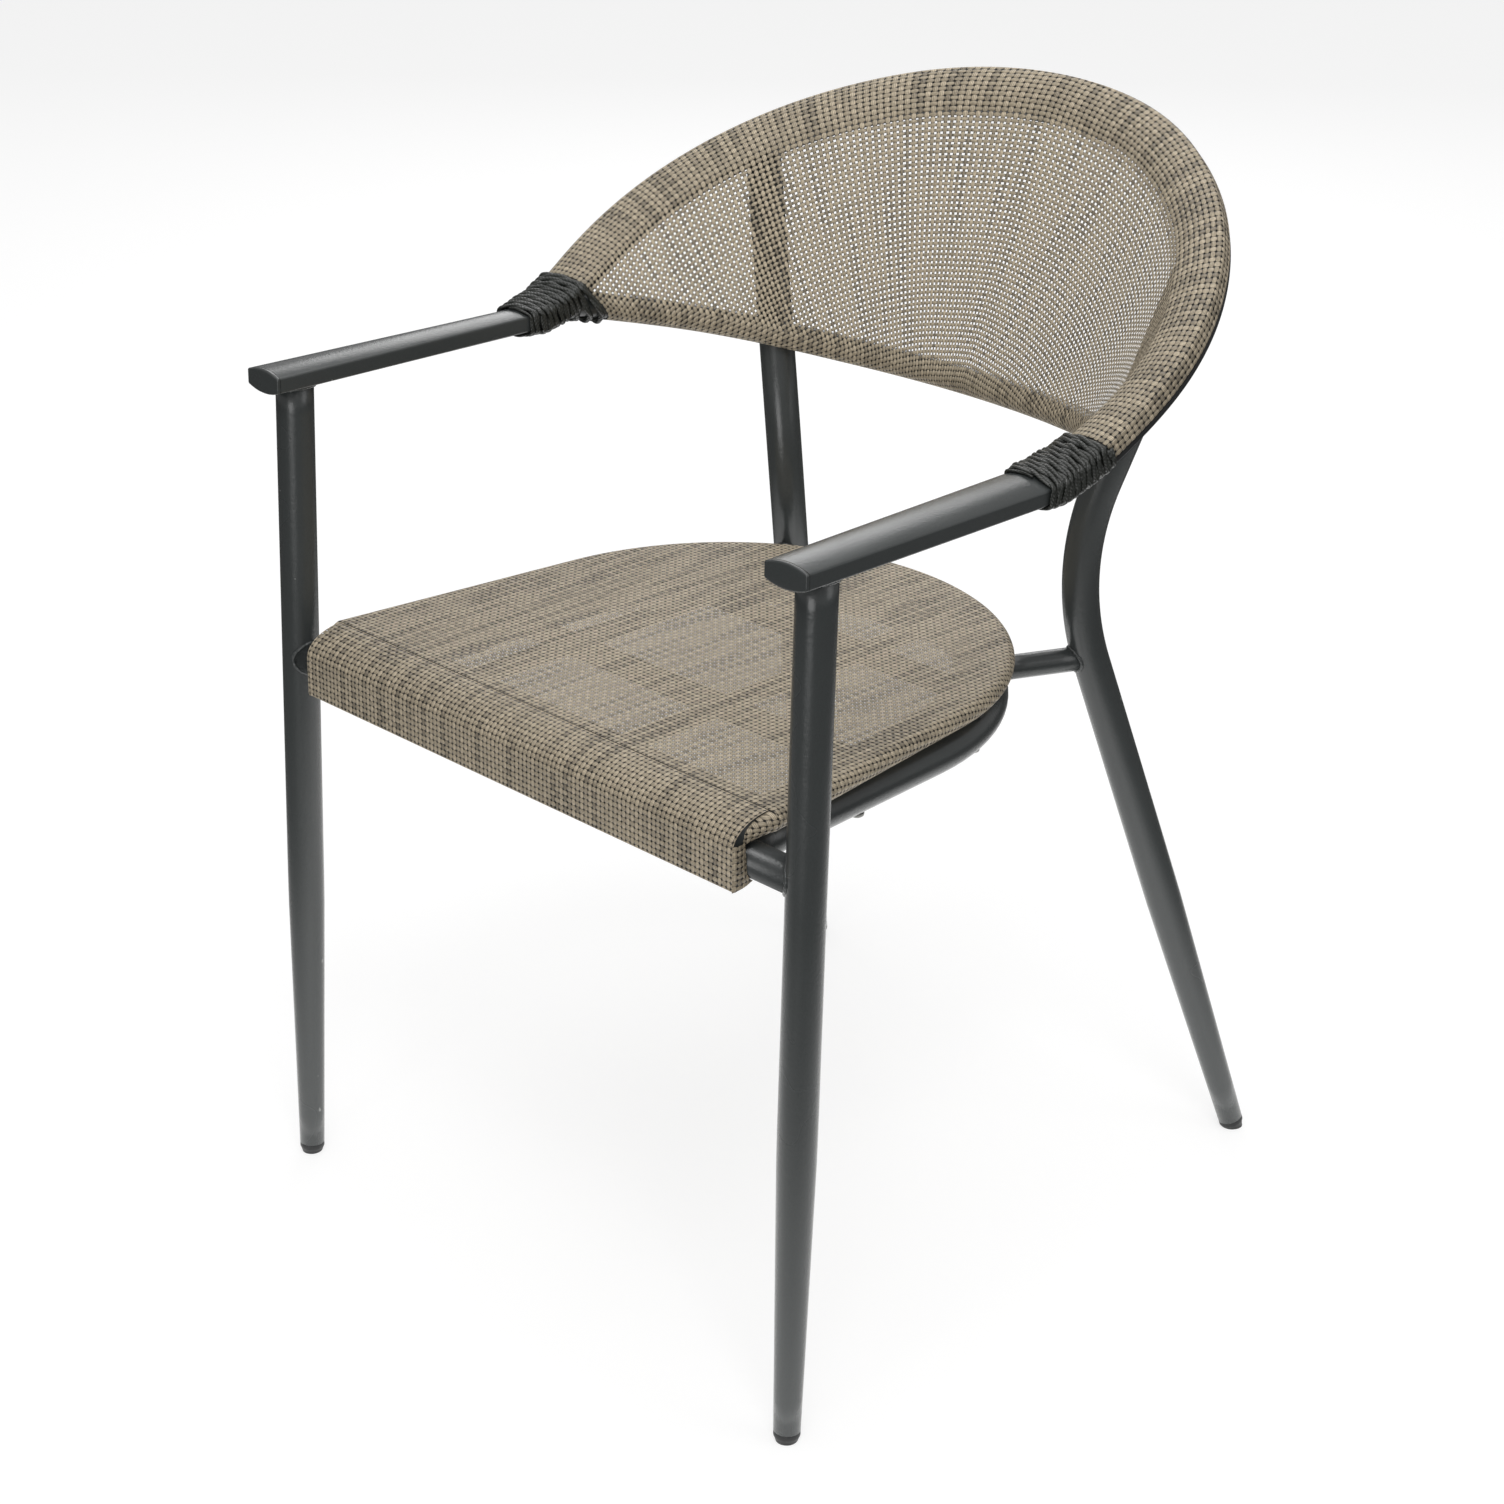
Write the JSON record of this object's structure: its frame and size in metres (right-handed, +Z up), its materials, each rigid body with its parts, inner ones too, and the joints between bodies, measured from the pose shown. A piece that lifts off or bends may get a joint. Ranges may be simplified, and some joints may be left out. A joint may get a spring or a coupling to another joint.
{
  "type": "bistro armchair",
  "caption": "Stacking outdoor armchair: coated aluminium tube frame, woven mesh on the curved back and seat, cord-wound arm joints, plastic foot glides.",
  "frame": {"origin": "middle of the chair's box in plan, on the floor under the foot glides", "axes": "+Z up, the chair faces -Y, +X is its left side"},
  "size_m": [0.575, 0.597, 0.8216],
  "materials": {
    "frame_coat": "fine-textured satin charcoal powder coat",
    "mesh_weave": "matte taupe woven vinyl-coated mesh",
    "cord": "black-grey cord with a soft sheen",
    "dark_plastic": "matte black plastic",
    "fastener": "plain steel"
  },
  "bodies": {
    "root": {"arm_left": "frame_coat", "arm_right": "frame_coat", "arm_end_cap_left": "frame_coat", "arm_end_cap_right": "frame_coat", "back_hoop": "frame_coat", "lower_back_rail": "frame_coat", "front_leg_left": "frame_coat", "front_leg_right": "frame_coat", "rear_leg_left": "frame_coat", "rear_leg_right": "frame_coat", "foot_glide_front_left": "dark_plastic", "foot_glide_front_right": "dark_plastic", "foot_glide_rear_left": "dark_plastic", "foot_glide_rear_right": "dark_plastic", "front_cross_tube": "frame_coat", "rear_brace_left": "frame_coat", "rear_brace_right": "frame_coat", "back_edge_strip": "dark_plastic", "back_fabric": "mesh_weave", "cord_wrap_left": "cord", "cord_wrap_right": "cord", "seat_support_tube": "frame_coat", "seat_ring": "frame_coat", "seat_front_rail": "frame_coat", "seat_long_slat_left": "frame_coat", "seat_long_slat_right": "frame_coat", "seat_cross_slat_front": "frame_coat", "seat_cross_slat_rear": "frame_coat", "seat_fabric": "mesh_weave", "seat_spacer_front_left": "dark_plastic", "seat_spacer_front_right": "dark_plastic", "seat_spacer_rear_left": "dark_plastic", "seat_spacer_rear_right": "dark_plastic", "seat_bolt_front_left": "fastener", "seat_bolt_front_right": "fastener", "seat_bolt_rear_left": "fastener", "seat_bolt_rear_right": "fastener"}
  },
  "joints": []
}
